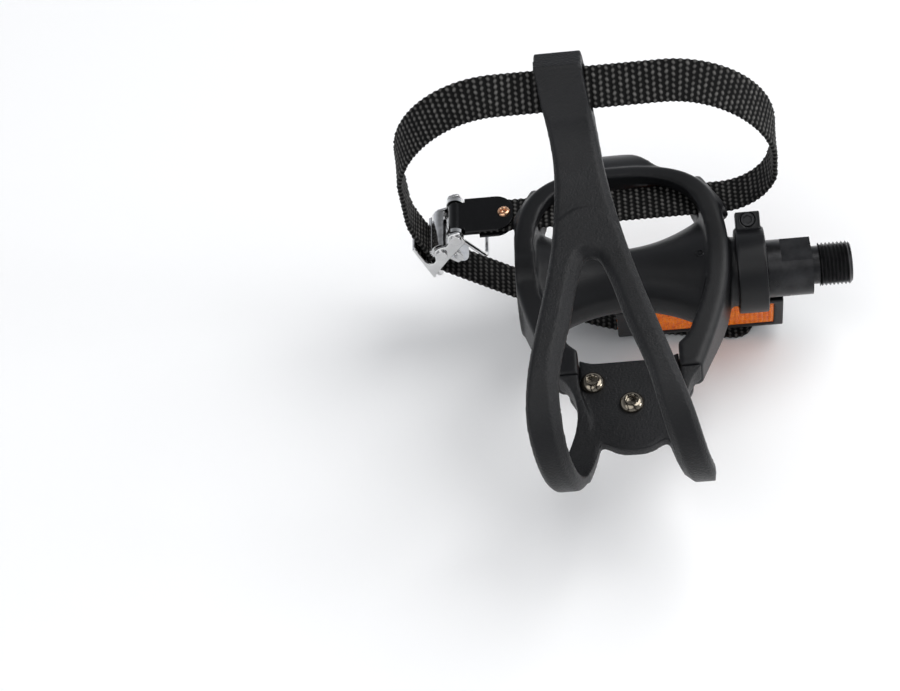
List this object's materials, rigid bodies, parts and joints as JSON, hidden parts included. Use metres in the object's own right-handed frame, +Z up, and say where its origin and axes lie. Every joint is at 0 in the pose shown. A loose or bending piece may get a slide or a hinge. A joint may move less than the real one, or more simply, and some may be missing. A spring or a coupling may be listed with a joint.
{
  "type": "toe clip pedal",
  "caption": "Right-hand bicycle pedal with a moulded oval cage, a looped toe clip, a buckled webbing strap and a clamp-on reflector.",
  "frame": {"origin": "on the spindle axis at the root of the crank thread", "axes": "+X along the spindle towards the crank, +Y towards the heel, +Z up out of the sole face"},
  "size_m": [0.1458, 0.1415, 0.1164],
  "materials": {
    "body_nylon": "satin",
    "clip_nylon": "fine grain",
    "bracket_plastic": "satin",
    "amber_lens": "prismatic",
    "seal_rubber": "matte",
    "spindle_steel": "black oxide",
    "bearing_steel": "ground",
    "bolt_steel": "dark chrome",
    "plated_sheet": "bright plate",
    "black_sheet": "glossy black",
    "rivet_copper": "dull",
    "webbing": "woven"
  },
  "bodies": {
    "spindle": {"spindle": "spindle_steel", "bearing_inner": "bearing_steel", "lock_washer": "bearing_steel", "lock_nut": "bearing_steel"},
    "pedal": {"pedal_body": "body_nylon", "dust_cap": "body_nylon", "neck_bush": "bearing_steel", "bearing_outer": "bearing_steel", "neck_seal": "seal_rubber", "toe_clip": "clip_nylon", "clip_bolts": "bolt_steel", "nut_plate": "plated_sheet", "reflector_bracket": "bracket_plastic", "front_lens": "amber_lens", "rear_lens": "amber_lens", "clamp_screw": "bolt_steel", "clamp_nut": "bolt_steel", "strap": "webbing", "strap_end_clip": "black_sheet", "strap_rivet": "rivet_copper", "buckle_frame": "plated_sheet", "cam_pin": "plated_sheet", "end_bar": "plated_sheet"},
    "lever": {"cam_lever": "plated_sheet"},
    "keeper": {"keeper_loop": "plated_sheet"}
  },
  "joints": [
    {"name": "pedal_spin", "type": "hinge", "parent": "spindle", "child": "pedal", "pos_m": [-0.0645, 0, 0], "axis": [1, 0, 0], "continuous": true},
    {"name": "cam_lever_hinge", "type": "hinge", "parent": "pedal", "child": "lever", "pos_m": [-0.12451, 0.0234, 0.00471], "axis": [0, -1, 0], "range_deg": [0, 35]},
    {"name": "keeper_swing", "type": "hinge", "parent": "pedal", "child": "keeper", "pos_m": [-0.119, 0.0234, 0.0115], "axis": [0, -1, 0], "range_deg": [-8, 30]}
  ]
}
